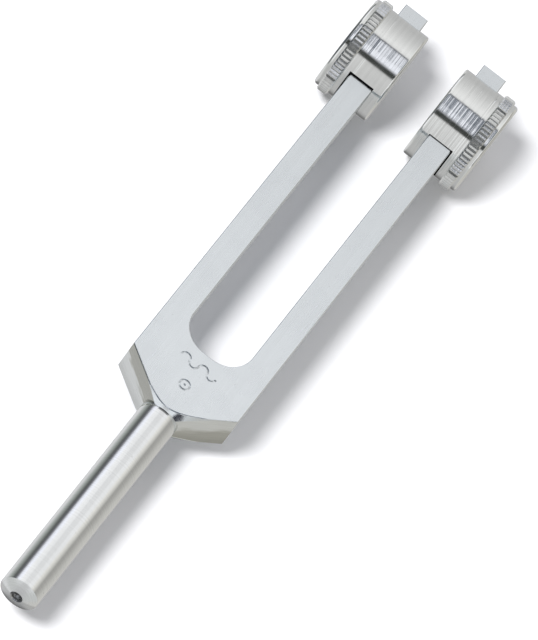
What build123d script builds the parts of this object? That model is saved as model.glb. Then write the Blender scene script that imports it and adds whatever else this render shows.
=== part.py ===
from build123d import *
import math
import os

# Tuning fork with two sliding weights.
# Frame: the fork lies on its back. +Y runs from the stem to the tips of the tines,
# +Z is the outward normal of the marked face, and +X is to the right of that face.
# The origin is on the stem's axis, where its full diameter begins: the rounded end
# reaches a little past it, to -Y. Millimetres throughout.

# ---- fork: driving dimensions ----
TIP_Y = 181.3            # tips of the tines
BODY_WIDTH = 27.6        # across both tines
THICKNESS = 10.0         # marked face to back face
TINE = 6.0               # width of one tine
GAP_BOTTOM = 73.6        # lowest point of the gap between the tines
GAP_CORNER = 6.6         # radius of the gap's two bottom corners
STEM_D = 9.0
STEM_CROWN = 1.2         # height of the domed end of the stem
SHOULDER_Y = {"left": 54.45, "right": 53.6}      # where each shoulder plane would meet the axis
SHOULDER_RISE = {"left": 35.8, "right": 38.7}    # degrees, shoulder plane from the X axis
CONE_APEX_Y = 52.6       # apex of the turned cone that leads into the stem
CONE_HALF = 51.3         # degrees, half angle of that cone
GROOVE_Y = 55.35         # relief groove at the stem's root: end of the stem's full diameter
GROOVE_WIDTH = 0.6
GROOVE_DEPTH = 0.2
EDGE_BREAK = 0.3         # rounding of the long edges
CENTRE_D = 3.0           # mouth of the lathe centre hole in the stem's end
CENTRE_DRILL_D = 1.2
CENTRE_DEPTH = 3.0       # full depth of the pilot hole, from the origin

# ---- stamped marks on the face ----
MARK_DEPTH = 0.25
MARK_STROKE = 0.5
WAVE_Y = 69.75           # centre line of the wave mark
WAVE_R = 1.15            # centre-line radius of each half wave
WAVE_HALVES = 4
RING_Y = 63.9
RING_R = 1.2
RING_DOT_R = 0.3

# ---- sliding weights: driving dimensions ----
WEIGHT_Y = 166.7         # height of the weights' axis at rest
WEIGHT_D = 22.9
KNURL_D = 24.4
KNURL_WIDTH = 2.65
KNURL_TEETH = 72
KNURL_DEPTH = 0.36
KNURL_EDGE = 0.35        # chamfer at both ends of the knurled band
INNER_WALL = {"left": 2.6, "right": 2.4}      # wall on the gap side of the slot
SLOT_SIDE_PLAY = 0.35    # room left on the outer side of the tine
SLOT_FACE_PLAY = 0.65    # room across the thickness of the tine, both sides together
BEARING_PLAY = 0.05      # running room on the side that bears on the tine
NECK = {"left": 1.25, "right": 1.6}           # plain length from the slot to the knurl
LAND = 1.3               # plain length outboard of the knurl
INNER_EDGE = 0.55        # rounding of the inner end
OUTER_EDGE = 0.75        # rounding of the outer end
FACE_SHIFT = {"left": 0.2, "right": -0.1}     # how each weight sits in its slot's play

# ---- set screws: M4 x 5, hexagon socket, flat point ----
SCREW_D = 4.0
SCREW_HOLE_PLAY = 0.1    # on the diameter
SCREW_TIP_GAP = 0.05
SCREW_LENGTH = 5.0
SCREW_POINT = 0.6        # chamfer of the point
SOCKET_AF = 2.0
SOCKET_DEPTH = 2.2
HOLE_LEAD_IN = 0.35      # countersink at the mouth of the tapped hole

# ---- worked out from the above ----
GAP = BODY_WIDTH - 2 * TINE
TINE_IN = GAP / 2
TINE_OUT = BODY_WIDTH / 2
STEM_R = STEM_D / 2
HALF_T = THICKNESS / 2
SLOT_IN = TINE_IN - BEARING_PLAY
SLOT_OUT = TINE_OUT + SLOT_SIDE_PLAY
SCREW_IN = TINE_OUT + SCREW_TIP_GAP


def bar():
    """The flat bar: outer edges, sloping shoulders and the gap between the tines."""
    corner_y = {
        side: SHOULDER_Y[side] + TINE_OUT * math.tan(math.radians(SHOULDER_RISE[side]))
        for side in ("left", "right")
    }
    outline = Polyline(
        (0, SHOULDER_Y["left"]),
        (0, SHOULDER_Y["right"]),
        (TINE_OUT, corner_y["right"]),
        (TINE_OUT, TIP_Y),
        (-TINE_OUT, TIP_Y),
        (-TINE_OUT, corner_y["left"]),
        close=True,
    )
    gap_top = TIP_Y + GAP_CORNER
    gap_height = gap_top - GAP_BOTTOM
    gap = Pos(0, GAP_BOTTOM + gap_height / 2) * RectangleRounded(GAP, gap_height, GAP_CORNER)
    return extrude(make_face(outline) - gap, HALF_T, both=True)


def turned_envelope():
    """Everything the lathe leaves above the cone: it trims the foot of the bar."""
    reach = BODY_WIDTH
    rim_y = CONE_APEX_Y + reach / math.tan(math.radians(CONE_HALF))
    half = Polyline((0, CONE_APEX_Y), (reach, rim_y), (reach, 2 * TIP_Y), (0, 2 * TIP_Y), close=True)
    return revolve(make_face(half), Axis.Y)


def stem():
    """The turned stem with its crowned end and the lathe's centre hole."""
    crown_r = (STEM_R**2 + STEM_CROWN**2) / (2 * STEM_CROWN)
    sag = crown_r - math.sqrt(crown_r**2 - (STEM_R / 2) ** 2)
    root_y = SHOULDER_Y["left"] + STEM_D
    half = make_face([
        ThreePointArc((0, -STEM_CROWN), (STEM_R / 2, sag - STEM_CROWN), (STEM_R, 0)),
        Line((STEM_R, 0), (STEM_R, root_y)),
        Line((STEM_R, root_y), (0, root_y)),
        Line((0, root_y), (0, -STEM_CROWN)),
    ])
    centre_r = CENTRE_D / 2
    drill_r = CENTRE_DRILL_D / 2
    mouth_y = crown_r - math.sqrt(crown_r**2 - centre_r**2) - STEM_CROWN
    cone_length = (centre_r - drill_r) * math.tan(math.radians(60))
    hole = make_face(Polyline(
        (0, -2 * STEM_CROWN),
        (centre_r, -2 * STEM_CROWN),
        (centre_r, mouth_y),
        (drill_r, mouth_y + cone_length),
        (drill_r, CENTRE_DEPTH),
        (0, CENTRE_DEPTH + drill_r / 2),
        close=True,
    ))
    return revolve(half, Axis.Y) - revolve(hole, Axis.Y)


def root_groove():
    """Cutter for the shallow relief groove where the stem meets the cone."""
    floor_r = STEM_R - GROOVE_DEPTH
    ring = Circle(STEM_R + GROOVE_DEPTH) - Circle(floor_r)
    return Pos(0, GROOVE_Y, 0) * Rot(-90, 0, 0) * extrude(ring, GROOVE_WIDTH)


def stamped_marks():
    """Generic marks, as cutters: a wave of half rings, and a ring with a dot below it."""
    cutters = []
    first_x = -WAVE_R * (WAVE_HALVES - 1)
    for i in range(WAVE_HALVES):
        upper = i % 2 == 0
        arc = CenterArc((first_x + 2 * WAVE_R * i, WAVE_Y), WAVE_R, 0 if upper else 180, 180)
        cutters.append(trace(arc, MARK_STROKE))
    cutters.append(Pos(0, RING_Y) * (Circle(RING_R + MARK_STROKE / 2) - Circle(RING_R - MARK_STROKE / 2)))
    cutters.append(Pos(0, RING_Y) * Circle(RING_DOT_R))
    return [Pos(0, 0, HALF_T - MARK_DEPTH) * extrude(c, 2 * MARK_DEPTH) for c in cutters]


def make_fork():
    body = bar() & turned_envelope()
    body = body + stem() - root_groove()
    face_edges = [
        e for e in body.edges()
        if abs(abs(e.center().Z) - HALF_T) < 1e-3 and e.bounding_box().size.Z < 1e-3
    ]
    body = fillet(face_edges, EDGE_BREAK)
    for cutter in stamped_marks():
        body = body - cutter
    return body


def knurl_band():
    """Straight knurl: a band whose rim is a ring of rounded teeth."""
    root_r = KNURL_D / 2 - KNURL_DEPTH
    crest_r = KNURL_D / 2
    pitch = 2 * math.pi / KNURL_TEETH
    points = []
    for i in range(KNURL_TEETH):
        for share, radius in ((-0.5, root_r), (-0.16, crest_r), (0.16, crest_r)):
            angle = pitch * (i + share)
            points.append((radius * math.cos(angle), radius * math.sin(angle)))
    band = extrude(make_face(Polyline(*points, close=True)), KNURL_WIDTH)
    half = Polyline(
        (0, 0),
        (crest_r - KNURL_EDGE, 0),
        (crest_r, KNURL_EDGE),
        (crest_r, KNURL_WIDTH - KNURL_EDGE),
        (crest_r - KNURL_EDGE, KNURL_WIDTH),
        (0, KNURL_WIDTH),
        close=True,
    )
    bevelled = revolve(Plane.XZ * make_face(half), Axis.Z)
    return band & bevelled


def make_weight(side):
    """One weight, turned about the X axis, built on the right and mirrored for the left."""
    inner_x = SLOT_IN - INNER_WALL[side]
    knurl_x = SLOT_OUT + NECK[side]
    outer_x = knurl_x + KNURL_WIDTH + LAND
    length = outer_x - inner_x
    barrel = Cylinder(WEIGHT_D / 2, length, align=(Align.CENTER, Align.CENTER, Align.MIN))
    barrel = fillet(barrel.edges().group_by(Axis.Z)[0].filter_by(GeomType.CIRCLE), INNER_EDGE)
    barrel = fillet(barrel.edges().group_by(Axis.Z)[-1].filter_by(GeomType.CIRCLE), OUTER_EDGE)
    turned = barrel + Pos(0, 0, knurl_x - inner_x) * knurl_band()
    turned = Pos(inner_x, WEIGHT_Y, FACE_SHIFT[side]) * Rot(0, 90, 0) * turned

    slot_width = SLOT_OUT - SLOT_IN
    slot = Pos((SLOT_OUT + SLOT_IN) / 2, WEIGHT_Y, FACE_SHIFT[side]) * Box(
        slot_width, 2 * KNURL_D, THICKNESS + SLOT_FACE_PLAY)
    hole_r = (SCREW_D + SCREW_HOLE_PLAY) / 2
    hole_length = outer_x - SLOT_OUT
    bore = Cylinder(hole_r, 2 * hole_length)
    lead_in = Pos(0, 0, -HOLE_LEAD_IN) * Cone(
        hole_r, hole_r + 2 * HOLE_LEAD_IN, 2 * HOLE_LEAD_IN, align=(Align.CENTER, Align.CENTER, Align.MIN))
    hole = Pos(outer_x, WEIGHT_Y, FACE_SHIFT[side]) * Rot(0, 90, 0) * (bore + lead_in)
    weight = turned - slot - hole
    return weight if side == "right" else mirror(weight, Plane.YZ)


def make_screw(side):
    """Set screw: flat point against the tine, hexagon socket outwards."""
    body = Cylinder(SCREW_D / 2, SCREW_LENGTH, align=(Align.CENTER, Align.CENTER, Align.MIN))
    body = chamfer(body.edges().group_by(Axis.Z)[0], SCREW_POINT)
    body = chamfer(body.edges().group_by(Axis.Z)[-1], SCREW_POINT / 3)
    socket = RegularPolygon(SOCKET_AF / 2, 6, major_radius=False)
    body = body - Pos(0, 0, SCREW_LENGTH - SOCKET_DEPTH) * extrude(socket, SOCKET_DEPTH)
    screw = Pos(SCREW_IN, WEIGHT_Y, FACE_SHIFT[side]) * Rot(0, 90, 0) * body
    return screw if side == "right" else mirror(screw, Plane.YZ)


parts = {
    "fork_body": make_fork(),
    "left_weight": make_weight("left"),
    "right_weight": make_weight("right"),
    "left_set_screw": make_screw("left"),
    "right_set_screw": make_screw("right"),
}

os.makedirs("parts", exist_ok=True)
for name, shape in parts.items():
    export_step(shape, f"parts/{name}.step")
    box = shape.bounding_box()
    print(name, round(shape.volume, 1), "mm3", [round(v, 2) for v in (*box.min, *box.max)])
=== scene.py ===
"""Tuning fork with two sliding weights: materials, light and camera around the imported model."""

import math

import bpy
from mathutils import Matrix, Vector


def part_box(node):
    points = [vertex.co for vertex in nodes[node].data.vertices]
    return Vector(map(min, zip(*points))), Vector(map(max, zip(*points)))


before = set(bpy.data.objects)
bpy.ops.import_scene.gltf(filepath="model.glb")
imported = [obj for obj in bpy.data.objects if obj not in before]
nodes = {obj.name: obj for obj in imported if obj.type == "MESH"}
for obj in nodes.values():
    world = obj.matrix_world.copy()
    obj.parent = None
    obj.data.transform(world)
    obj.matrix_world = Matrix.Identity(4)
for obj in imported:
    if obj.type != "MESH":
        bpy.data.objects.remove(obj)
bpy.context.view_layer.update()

# ---- places read from the frame, in millimetres, which the materials work in ----
MM = 1000.0
fork_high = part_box("fork_body")[1] * MM
TIP_Y = fork_high.y
FACE_Z = fork_high.z
weight_boxes = {side: [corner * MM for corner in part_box(side + "_weight")] for side in ("left", "right")}
WEIGHT_Y = sum(corner.y for corner in weight_boxes["left"]) / 2
FLOOR_Z = min(low.z for low, high in weight_boxes.values()) / MM

# ---- the fork's own dimensions, in millimetres ----
STEM_R = 4.5
GROOVE_Y = 55.35         # relief groove at the stem's root
GROOVE_TOP_Y = 55.95
CONE_APEX_Y = 52.6
CONE_SLOPE = 0.801       # rise of the cone along Y for each millimetre of radius
SHOULDER_Y = {"left": 54.45, "right": 53.6}
SHOULDER_SLOPE = {"left": 0.721, "right": 0.801}
MARKS_LOW_Y, MARKS_HIGH_Y, MARKS_X = 61.0, 72.5, 5.4
BARREL_R = 11.45
SLOT_IN, SLOT_OUT = 7.75, 14.15
SLOT_HALF = 5.325
NECK_END = {"left": 15.4, "right": 15.75}
STRIP_START = {"left": 13.28, "right": 14.42}
SCREW_HOLE_R = 2.05
CENTRE_MOUTH_R = 1.5     # the lathe's centre hole in the stem's end
CENTRE_DRILL_R = 0.6
CENTRE_DEPTH = 3.3

# ---- depth of the tool marks, in metres ----
FORK_RELIEF = 0.000006
BARREL_RELIEF = 0.00003
SCREW_RELIEF = 0.000008

# ---- camera ----
CAMERA_TILT = 36.16      # degrees from the marked face's normal, towards the stem
CAMERA_YAW = 0.71
CAMERA_ROLL = 37.84      # the fork leans this far to the right of upright
CAMERA_REACH = 1.7345    # from the lens to the point it looks at
CAMERA_LENS = 459.7
CAMERA_AIM = Vector((0.0055, 0.0907, 0.005))

# ---- light ----
SUN_FROM = Vector((-0.395, -0.54, 1.0))
SUN_STRENGTH = 3.0
SUN_ANGLE = 17           # degrees, how wide the sun looks, which softens the shadow's edge
FLOOR_SIZE = 20.0
FLOOR_COLOUR = (0.94, 0.94, 0.96, 1.0)
DEGREES = 180 / math.pi


def node_tree(owner):
    owner.use_nodes = True
    tree = owner.node_tree
    tree.nodes.clear()
    return tree


class Maker:
    """Short names for the nodes that the groups and materials are made of."""

    def __init__(self, tree):
        self.tree = tree

    def add(self, kind, **settings):
        node = self.tree.nodes.new(kind)
        for key, value in settings.items():
            setattr(node, key, value)
        return node

    def link(self, source, target):
        self.tree.links.new(source, target)

    def feed(self, socket, value):
        if isinstance(value, bpy.types.NodeSocket):
            self.link(value, socket)
        else:
            socket.default_value = value

    def math(self, operation, first, second=None, third=None, clamp=False):
        node = self.add("ShaderNodeMath", operation=operation, use_clamp=clamp)
        for socket, value in zip(node.inputs, (first, second, third)):
            if value is not None:
                self.feed(socket, value)
        return node.outputs[0]

    def times(self, first, *others):
        for other in others:
            first = self.math("MULTIPLY", first, other)
        return first

    def step(self, value, low, high, out_low=0.0, out_high=1.0):
        """Smooth step from out_low at low to out_high at high."""
        node = self.add("ShaderNodeMapRange", interpolation_type="SMOOTHSTEP")
        for name, number in (("Value", value), ("From Min", low), ("From Max", high),
                             ("To Min", out_low), ("To Max", out_high)):
            self.feed(node.inputs[name], number)
        return node.outputs["Result"]

    def band(self, value, low, high, soft):
        """1 between low and high, fading to 0 over soft on both sides."""
        return self.times(self.step(value, low - soft, low), self.step(value, high + soft, high))

    def mix(self, share, first, second):
        node = self.add("ShaderNodeMix", data_type="FLOAT")
        for place, value in zip((0, 2, 3), (share, first, second)):
            self.feed(node.inputs[place], value)
        return node.outputs[0]

    def tint(self, share, first, second):
        node = self.add("ShaderNodeMix", data_type="RGBA")
        for place, value in zip((0, 6, 7), (share, first, second)):
            self.feed(node.inputs[place], (*value, 1.0) if isinstance(value, tuple) else value)
        return node.outputs[2]

    def shade(self, colour, factor):
        """The colour made lighter or darker by a factor."""
        node = self.add("ShaderNodeVectorMath", operation="SCALE")
        self.feed(node.inputs[0], colour[:3] if isinstance(colour, tuple) else colour)
        self.feed(node.inputs["Scale"], factor)
        return node.outputs[0]

    def ramp(self, value, stops):
        """A colour read off a row of stops: (place, level) or (place, level, tint)."""
        low, high = stops[0][0], stops[-1][0]
        spread = self.add("ShaderNodeMapRange")
        for name, number in (("Value", value), ("From Min", low), ("From Max", high)):
            self.feed(spread.inputs[name], number)
        node = self.add("ShaderNodeValToRGB")
        elements = node.color_ramp.elements
        while len(elements) < len(stops):
            elements.new(1.0)
        for element, (place, level, *tint) in zip(elements, stops):
            element.position = (place - low) / (high - low)
            element.color = (*(level * part for part in (tint[0] if tint else (1.0, 1.0, 1.0))), 1.0)
        self.link(spread.outputs["Result"], node.inputs["Fac"])
        return node.outputs["Color"]

    def point(self, x, y, z):
        node = self.add("ShaderNodeCombineXYZ")
        for socket, value in zip(node.inputs, (x, y, z)):
            self.feed(socket, value)
        return node.outputs[0]

    def noise(self, vector, scale, detail=2.0, roughness=0.5):
        node = self.add("ShaderNodeTexNoise")
        for name, value in (("Vector", vector), ("Scale", scale), ("Detail", detail),
                            ("Roughness", roughness)):
            self.feed(node.inputs[name], value)
        return node.outputs["Fac"]

    def position(self):
        """The point on the object in millimetres, as x, y and z."""
        split = self.add("ShaderNodeSeparateXYZ")
        place = self.add("ShaderNodeTexCoord").outputs["Object"]
        scaled = self.add("ShaderNodeVectorMath", operation="SCALE")
        self.link(place, scaled.inputs[0])
        scaled.inputs["Scale"].default_value = MM
        self.link(scaled.outputs[0], split.inputs[0])
        return split.outputs

    def use(self, group, **values):
        node = self.add("ShaderNodeGroup", node_tree=group)
        for name, value in values.items():
            self.feed(node.inputs[name.replace("_", " ")], value)
        return node.outputs


def make_group(name, inputs, outputs):
    """An empty node group with named sockets, and what is needed to fill it."""
    tree = bpy.data.node_groups.new(name, "ShaderNodeTree")
    for in_out, sockets in (("INPUT", inputs), ("OUTPUT", outputs)):
        for socket, kind in sockets.items():
            tree.interface.new_socket(name=socket, in_out=in_out, socket_type="NodeSocket" + kind)
    m = Maker(tree)
    return tree, m, m.add("NodeGroupInput").outputs, m.add("NodeGroupOutput").inputs


def tool_lines_group():
    """Fine parallel tool marks: a noise that is stretched by the spacing it is given."""
    tree, m, given, result = make_group(
        "tool_lines", {"Stretched": "Vector"}, {"Lines": "Float", "Bands": "Float"})
    fine = m.noise(given["Stretched"], 1.0, 3.0, 0.65)
    coarse = m.noise(given["Stretched"], 0.27, 1.0, 0.5)
    m.link(m.step(fine, 0.28, 0.72), result["Lines"])
    m.link(m.step(coarse, 0.34, 0.66), result["Bands"])
    return tree


def handling_group():
    """Faint smudges and a few tiny nicks that handling leaves on bare metal."""
    tree, m, given, result = make_group(
        "handling", {"Place": "Vector", "Nick Size": "Float"}, {"Smudge": "Float", "Nicks": "Float"})
    m.link(m.step(m.noise(given["Place"], 0.11, 3.0, 0.6), 0.42, 0.66), result["Smudge"])
    cells = m.add("ShaderNodeTexVoronoi", feature="F1")
    m.link(given["Place"], cells.inputs["Vector"])
    cells.inputs["Scale"].default_value = 0.42
    m.link(m.step(cells.outputs["Distance"], given["Nick Size"], 0.0), result["Nicks"])
    return tree


def make_camera():
    tilt, yaw, roll = (math.radians(v) for v in (CAMERA_TILT, CAMERA_YAW, CAMERA_ROLL))
    along = Vector((0, math.cos(tilt), math.sin(tilt)))
    turn = Matrix.Rotation(yaw, 3, along)
    back = turn @ Vector((0, -math.sin(tilt), math.cos(tilt)))
    across = turn @ Vector((1, 0, 0))
    right = math.cos(roll) * across + math.sin(roll) * along
    up = math.cos(roll) * along - math.sin(roll) * across
    data = bpy.data.cameras.new("camera")
    data.lens = CAMERA_LENS
    data.sensor_width = 36.0
    data.clip_start, data.clip_end = 0.1, 50.0
    camera = bpy.data.objects.new("camera", data)
    bpy.context.scene.collection.objects.link(camera)
    place = Matrix((right, up, back)).transposed().to_4x4()
    place.translation = CAMERA_AIM + back * CAMERA_REACH
    camera.matrix_world = place
    bpy.context.scene.camera = camera


COOL = (0.97, 0.985, 1.06)
GREENISH = (0.96, 1.02, 0.97)
WARM = (1.03, 1.01, 0.95)
# light round the X axis: degrees from straight up, positive towards the tips
ROUND_X = (
    (-180, 0.34), (-171, 0.42), (-162, 0.48), (-110, 0.49),
    (-90, 0.58), (-74, 0.60), (-56, 0.63), (-46, 0.60),
    (-43, 0.06, GREENISH), (-34, 0.05, GREENISH),
    (-31, 0.50, COOL), (-27, 0.97, COOL), (-21, 0.95, COOL), (-13, 0.90, COOL), (-4, 0.90, COOL),
    (6, 0.85, COOL), (10, 0.70, COOL), (11, 0.20, COOL), (13, 0.20, COOL),
    (15, 0.80), (24, 0.845), (35, 0.765), (46, 0.69), (59, 0.61),
    (73, 0.56), (90, 0.51), (130, 0.50), (150, 0.34), (164, 0.14), (180, 0.30))
# light round the Y axis: degrees from straight up, positive to the right
ROUND_Y = (
    (-180, 0.66), (-133, 0.70), (-120, 0.60),
    (-109, 0.44, GREENISH), (-94, 0.28, GREENISH), (-82, 0.12, GREENISH),
    (-70, 0.13, COOL), (-63, 0.30, COOL), (-56, 0.80, COOL), (-47, 1.0, COOL),
    (-34, 0.93), (-16, 0.87), (0, 0.83), (30, 0.86),
    (42, 0.76, WARM), (55, 0.57, WARM), (66, 0.36, WARM), (80, 0.38, WARM), (94, 0.45, WARM),
    (111, 0.53, WARM), (145, 0.56, WARM), (180, 0.56))


def make_world():
    """A pale light tent with a few dark gaps, over a grey table. It is white behind the object."""
    world = bpy.data.worlds.new("studio")
    bpy.context.scene.world = world
    m = Maker(node_tree(world))
    split = m.add("ShaderNodeSeparateXYZ")
    m.link(m.add("ShaderNodeTexCoord").outputs["Generated"], split.inputs[0])
    x, y, z = split.outputs
    side_x = m.math("ABSOLUTE", x)
    pitch = m.math("MULTIPLY", m.math("ARCTAN2", y, z), DEGREES)
    lean = m.math("MULTIPLY", m.math("ARCTAN2", x, z), DEGREES)

    # beyond the stem's free end the tent is plain, with one black card low on the right
    near = m.tint(m.step(z, -0.3, 0.0), (0.55, 0.56, 0.55), (0.88, 0.89, 0.90))
    near_card = m.times(m.band(x, 0.55, 0.73, 0.04), m.band(z, -0.08, 0.22, 0.05))
    near = m.tint(near_card, near, (0.03, 0.03, 0.04))
    aside = m.tint(m.step(y, -0.66, -0.56), near, m.ramp(lean, ROUND_Y))
    left_card = m.times(m.band(lean, -118.0, -42.0, 6.0), m.band(y, -0.56, 0.38, 0.06))
    aside = m.tint(left_card, aside, (0.10, 0.11, 0.12))
    # the bright window overhead is narrow, with dark cloth on both sides of it
    window = m.ramp(pitch, ROUND_X)
    off_centre = m.math("ABSOLUTE", m.math("ADD", x, 0.015))
    cloth = m.math("MAXIMUM", m.times(m.band(pitch, -13.0, 11.0, 5.0), m.step(off_centre, 0.03, 0.08)),
                   m.times(m.band(pitch, -30.0, -10.0, 3.0), m.step(off_centre, 0.09, 0.16)))
    window = m.tint(m.times(cloth, 0.9), window, (0.06, 0.08, 0.11))
    reach = m.mix(m.band(pitch, -44.0, 12.0, 2.0), 0.14, 0.45)
    studio = m.tint(m.step(side_x, reach, m.math("ADD", reach, 0.10)), window, aside)

    light_path = m.add("ShaderNodeLightPath")
    seen = m.tint(light_path.outputs["Is Camera Ray"], studio, (1.0, 1.0, 1.0))
    background = m.add("ShaderNodeBackground")
    m.link(seen, background.inputs["Color"])
    m.link(background.outputs[0], m.add("ShaderNodeOutputWorld").inputs["Surface"])


def make_sun():
    data = bpy.data.lights.new("key", "SUN")
    data.energy = SUN_STRENGTH
    data.angle = math.radians(SUN_ANGLE)
    sun = bpy.data.objects.new("key", data)
    bpy.context.scene.collection.objects.link(sun)
    sun.rotation_euler = SUN_FROM.to_track_quat("Z", "Y").to_euler()
    sun.visible_glossy = False


def make_floor():
    bpy.ops.mesh.primitive_plane_add(size=FLOOR_SIZE, location=(0, 0, FLOOR_Z))
    floor = bpy.context.object
    floor.name = "floor"
    material = bpy.data.materials.new("pale_floor")
    m = Maker(node_tree(material))
    shader = m.add("ShaderNodeBsdfDiffuse")
    shader.inputs["Color"].default_value = FLOOR_COLOUR
    m.link(shader.outputs[0], m.add("ShaderNodeOutputMaterial").inputs["Surface"])
    floor.data.materials.append(material)
    floor.visible_glossy = False


def metal(name, fill):
    """A metal whose colour, roughness and relief come from fill(maker)."""
    material = bpy.data.materials.new(name)
    m = Maker(node_tree(material))
    shader = m.add("ShaderNodeBsdfPrincipled")
    shader.inputs["Metallic"].default_value = 1.0
    colour, roughness, relief, depth = fill(m)
    m.feed(shader.inputs["Base Color"], colour)
    m.feed(shader.inputs["Roughness"], roughness)
    bump = m.add("ShaderNodeBump")
    bump.inputs["Strength"].default_value = 1.0
    bump.inputs["Distance"].default_value = depth
    m.link(relief, bump.inputs["Height"])
    m.link(bump.outputs[0], shader.inputs["Normal"])
    m.link(shader.outputs[0], m.add("ShaderNodeOutputMaterial").inputs["Surface"])
    return material


def fork_alloy(m):
    """Satin along the bar, turned stem and cone, filed shoulders; painted shade in the groove and holes,
    along the bar, on the shoulders and on the end.
    """
    x, y, z = m.position()
    side_x = m.math("ABSOLUTE", x)
    radius = m.math("SQRT", m.math("ADD", m.times(x, x), m.times(z, z)))
    height = m.math("ABSOLUTE", z)

    on_stem = m.times(m.step(y, GROOVE_TOP_Y + 0.1, GROOVE_TOP_Y - 0.1),
                      m.step(radius, STEM_R + 0.3, STEM_R + 0.1))
    on_end = m.step(y, 0.05, -0.05)
    above_cone = m.math("SUBTRACT", m.math("SUBTRACT", y, CONE_APEX_Y), m.times(radius, CONE_SLOPE))
    on_cone = m.times(m.step(above_cone, 0.16, 0.06), m.math("SUBTRACT", 1.0, on_stem))
    on_shoulder = 0.0
    for side, sign in (("left", -1.0), ("right", 1.0)):
        plane_y = m.math("MULTIPLY_ADD", x, sign * SHOULDER_SLOPE[side], SHOULDER_Y[side])
        above = m.math("SUBTRACT", y, plane_y)
        near = m.times(m.step(above, 0.25, 0.10), m.step(m.times(x, sign), 0.0, 0.5))
        on_shoulder = m.math("MAXIMUM", on_shoulder, near)
    on_shoulder = m.times(on_shoulder, m.step(on_cone, 0.9, 0.5), m.step(on_stem, 0.9, 0.5))
    on_face = m.step(height, FACE_Z - 0.06, FACE_Z - 0.02)

    satin = m.use(TOOL_LINES, Stretched=m.point(m.times(x, 2.2), m.times(y, 0.04), m.times(z, 2.2)))
    turned = m.use(TOOL_LINES, Stretched=m.point(m.times(y, 2.6), 0.0, 0.0))
    ringed = m.use(TOOL_LINES, Stretched=m.point(m.times(radius, 6.0), 4.0, 0.0))
    filed = m.use(TOOL_LINES, Stretched=m.point(m.times(z, 2.4), m.times(side_x, 0.15), m.times(y, 0.15)))
    marks = m.use(HANDLING, Place=m.point(x, y, z), Nick_Size=0.10)

    # lightness of each finish, then the finishes over each other
    tone = m.mix(satin["Lines"], 0.985, 1.01)
    # painted shade: the bar is painted lighter towards the stem and darker towards the tips
    tone = m.times(tone, m.mix(satin["Bands"], 0.99, 1.005), m.step(y, 60.0, TIP_Y, 1.06, 0.94))
    # painted shade and reflection: the left shoulder is darker towards the marked face, the right one away
    # from it, and both are darker towards the back
    wander = m.math("ADD", z, m.times(m.math("SUBTRACT", 8.0, side_x), 0.22))
    uneven = m.times(m.noise(m.point(m.times(x, 0.45), z, 2.0), 0.5), 4.0)
    wander = m.math("ADD", wander, m.math("SUBTRACT", uneven, 2.0))
    painted_shoulder_shade = m.mix(m.step(x, -0.5, 0.5), m.step(wander, -0.3, 0.9), m.step(wander, 1.4, -1.4))
    tone = m.mix(on_shoulder, tone, m.times(m.mix(painted_shoulder_shade, 0.94, 0.57), m.mix(filed["Lines"], 0.96, 1.03),
                                            m.step(z, -4.5, -1.0, 0.86, 1.0)))
    tone = m.mix(on_cone, tone, m.mix(ringed["Lines"], 0.90, 1.02))
    tone = m.mix(on_stem, tone, m.mix(turned["Lines"], 0.975, 1.06))
    # painted shade: the stem's end is painted darker in its lower half
    tone = m.mix(on_end, tone, m.times(m.mix(ringed["Lines"], 0.96, 1.06), m.step(z, 0.3, -0.5, 1.02, 0.76)))
    tone = m.times(tone, m.mix(marks["Smudge"], 1.0, 0.975), m.mix(marks["Nicks"], 1.0, 0.85))

    in_groove = m.times(m.band(y, GROOVE_Y, GROOVE_TOP_Y, 0.04), m.step(radius, STEM_R - 0.03, STEM_R - 0.12),
                        m.step(side_x, 1.5, 0.9))
    in_hole = m.times(m.step(radius, CENTRE_DRILL_R + 0.15, CENTRE_DRILL_R),
                      m.step(y, CENTRE_DEPTH + 0.3, CENTRE_DEPTH), m.step(y, 0.0, 0.6))
    in_marks = m.times(m.band(y, MARKS_LOW_Y, MARKS_HIGH_Y, 0.1), m.step(side_x, MARKS_X + 0.1, MARKS_X),
                       m.step(z, FACE_Z - 0.03, FACE_Z - 0.10), m.step(z, 4.0, 4.2))
    patchy = m.step(m.noise(m.point(x, y, z), 1.3, 2.0, 0.6), 0.38, 0.60)
    worn = m.mix(patchy, 0.0, 0.3)
    in_mouth = m.times(m.step(radius, CENTRE_MOUTH_R, CENTRE_MOUTH_R - 0.2),
                       m.step(y, CENTRE_DEPTH + 0.2, CENTRE_DEPTH - 0.1), m.step(y, -1.2, -0.8))
    # painted shade in the root groove, the centre hole and its mouth; the stamped marks are darkened patchily
    # as print
    print_and_painted_shade = m.math("MAXIMUM", m.times(in_groove, 0.65), m.times(in_marks, worn))
    print_and_painted_shade = m.math("MAXIMUM", print_and_painted_shade, m.times(in_hole, 0.85))
    print_and_painted_shade = m.math("MAXIMUM", print_and_painted_shade, m.times(in_mouth, m.mix(patchy, 0.2, 0.8)))
    tone = m.times(tone, m.math("SUBTRACT", 1.0, print_and_painted_shade))
    hue = m.tint(on_stem, (0.860, 0.900, 0.932), (0.890, 0.905, 0.915))
    # painted reflection: the shaded part of each shoulder is given a warmer colour
    hue = m.tint(on_shoulder, hue, m.tint(painted_shoulder_shade, (0.885, 0.910, 0.915), (0.915, 0.925, 0.865)))
    colour = m.shade(hue, tone)

    rough = m.mix(satin["Lines"], 0.235, 0.27)
    rough = m.mix(on_face, 0.24, rough)
    rough = m.mix(on_shoulder, rough, 0.22)
    rough = m.mix(on_cone, rough, 0.12)
    rough = m.mix(on_stem, rough, m.mix(turned["Bands"], 0.07, 0.12))
    rough = m.mix(on_end, rough, 0.20)
    rough = m.math("ADD", rough, m.times(marks["Smudge"], 0.03))
    rough = m.mix(print_and_painted_shade, rough, 0.5)

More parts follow.
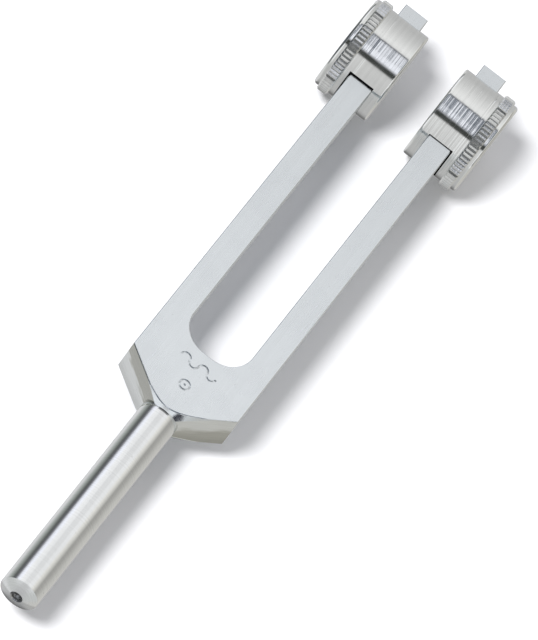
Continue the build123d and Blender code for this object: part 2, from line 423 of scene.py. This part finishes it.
    relief = m.mix(on_shoulder, m.times(satin["Lines"], 0.25), m.times(filed["Lines"], 0.5))
    relief = m.mix(on_cone, relief, ringed["Lines"])
    relief = m.mix(on_stem, relief, m.times(turned["Lines"], 0.8))
    relief = m.mix(on_end, relief, ringed["Lines"])
    return colour, rough, relief, FORK_RELIEF


def turned_alloy(m):
    """Bright barrels with turning rings, a duller strip by the knurl, and milled slots, with painted shade in
    the slots, the screw bore and the fine grooves.
    """
    x, y, z = m.position()
    out_x = m.math("ABSOLUTE", x)
    from_axis = m.math("SUBTRACT", y, WEIGHT_Y)
    radius = m.math("SQRT", m.math("ADD", m.times(from_axis, from_axis), m.times(z, z)))
    on_right = m.step(x, -1.0, 1.0)
    neck_end = m.mix(on_right, NECK_END["left"], NECK_END["right"])

    rings = m.use(TOOL_LINES, Stretched=m.point(m.times(x, 1.35), 0.0, 7.0))
    faced = m.use(TOOL_LINES, Stretched=m.point(m.times(radius, 3.0), 2.0, 0.0))
    marks = m.use(HANDLING, Place=m.point(x, y, z), Nick_Size=0.08)

    on_barrel = m.step(radius, BARREL_R - 0.9, BARREL_R - 0.7)
    on_knurl = m.step(radius, BARREL_R + 0.15, BARREL_R + 0.3)
    before_knurl = m.step(m.math("SUBTRACT", neck_end, out_x), 0.0, 0.1)
    # two fine grooves, one where the strip by the knurl starts and one at its far end; they also get a little
    # painted shade
    first = m.math("SUBTRACT", out_x, m.mix(on_right, STRIP_START["left"], STRIP_START["right"]))
    last = m.math("SUBTRACT", neck_end, out_x)
    grooves = m.math("MAXIMUM", m.band(first, -0.06, 0.06, 0.22), m.band(last, 0.12, 0.24, 0.22))
    grooves = m.times(grooves, on_barrel)
    taper = m.times(m.step(first, 0.0, 0.1), before_knurl, on_barrel, first)
    in_slot = m.times(m.band(out_x, SLOT_IN - 0.03, SLOT_OUT + 0.03, 0.02),
                      m.step(m.math("ABSOLUTE", z), SLOT_HALF + 0.30, SLOT_HALF + 0.22),
                      m.step(radius, BARREL_R - 0.05, BARREL_R - 0.15))
    in_bore = m.times(m.step(out_x, SLOT_OUT - 0.1, SLOT_OUT),
                      m.step(radius, SCREW_HOLE_R + 0.55, SCREW_HOLE_R + 0.25))

    tone = m.mix(rings["Lines"], 0.955, 1.03)
    tone = m.mix(on_barrel, m.mix(faced["Lines"], 0.90, 1.02), tone)
    tone = m.times(tone, m.mix(grooves, 1.0, 0.95), m.mix(on_knurl, 1.0, 0.90))
    tone = m.times(tone, m.mix(marks["Smudge"], 1.0, 0.97), m.mix(marks["Nicks"], 1.0, 0.85))
    # painted shade: the slot walls are darkened nearly to black and the screw bore much darker
    tone = m.times(tone, m.mix(m.math("MAXIMUM", m.times(in_slot, 0.74), m.times(in_bore, 0.7)), 1.0, 0.0))
    colour = m.shade((0.905, 0.915, 0.905), tone)

    rough = m.mix(rings["Bands"], 0.06, 0.11)
    rough = m.mix(on_barrel, 0.2, rough)
    rough = m.mix(on_knurl, rough, 0.18)
    rough = m.math("ADD", rough, m.times(marks["Smudge"], 0.03))
    turned = m.times(m.step(rings["Lines"], 0.3, 0.7), m.mix(on_right, 0.19, 0.44))
    relief = m.mix(on_barrel, m.times(faced["Lines"], 0.6), turned)
    relief = m.math("ADD", m.math("SUBTRACT", relief, m.times(grooves, 0.7)), m.times(taper, 0.7))
    return colour, rough, relief, BARREL_RELIEF


def screw_steel(m):
    """Blackened steel, with turning marks and a little shine left on it."""
    x, y, z = m.position()
    lines = m.use(TOOL_LINES, Stretched=m.point(m.times(x, 6.0), m.times(y, 0.6), m.times(z, 0.6)))
    marks = m.use(HANDLING, Place=m.point(x, y, z), Nick_Size=0.2)
    tone = m.times(m.mix(lines["Lines"], 0.8, 1.1), m.mix(marks["Smudge"], 1.0, 1.25))
    colour = m.shade((0.135, 0.135, 0.145), tone)
    return colour, m.mix(lines["Bands"], 0.28, 0.42), lines["Lines"], SCREW_RELIEF


def dress(node, material):
    mesh_object = nodes[node]
    if not mesh_object.material_slots:
        mesh_object.data.materials.append(material)
    for slot in mesh_object.material_slots:
        slot.material = material


scene = bpy.context.scene
scene.view_settings.view_transform = "Standard"
make_camera()
make_world()
make_sun()
make_floor()

TOOL_LINES = tool_lines_group()
HANDLING = handling_group()
dress("fork_body", metal("fork_alloy", fork_alloy))
weight_metal = metal("turned_alloy", turned_alloy)
screw_metal = metal("screw_steel", screw_steel)
for side in ("left", "right"):
    dress(side + "_weight", weight_metal)
    dress(side + "_set_screw", screw_metal)
